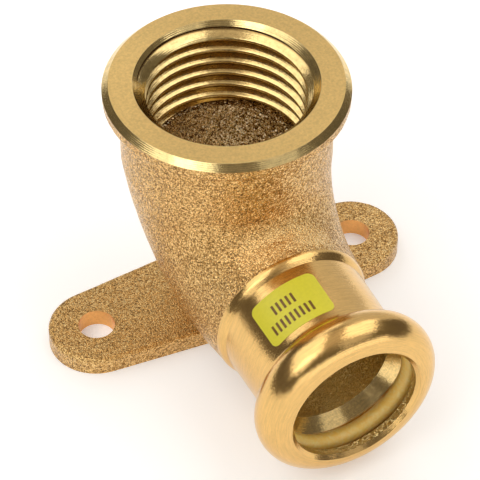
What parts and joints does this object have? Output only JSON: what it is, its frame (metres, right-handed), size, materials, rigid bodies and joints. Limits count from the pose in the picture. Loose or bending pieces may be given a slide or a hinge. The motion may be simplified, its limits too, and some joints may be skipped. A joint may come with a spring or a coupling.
{
  "type": "wall plate elbow",
  "caption": "Cast elbow on a wall plate with screw ears: a threaded socket faces out from the wall and a press socket with a seal takes a tube.",
  "frame": {"origin": "on the threaded socket's axis, at the back face of the wall plate", "axes": "+Z along the threaded socket, away from the wall; the press socket points along -Y; the screw ears lie along X"},
  "size_m": [0.0474, 0.0478, 0.0353],
  "materials": {
    "gunmetal": "blasted casting with turned faces",
    "seal": "soft gloss"
  },
  "bodies": {
    "root": {"elbow_body": "gunmetal", "o_ring": "seal"}
  },
  "joints": []
}
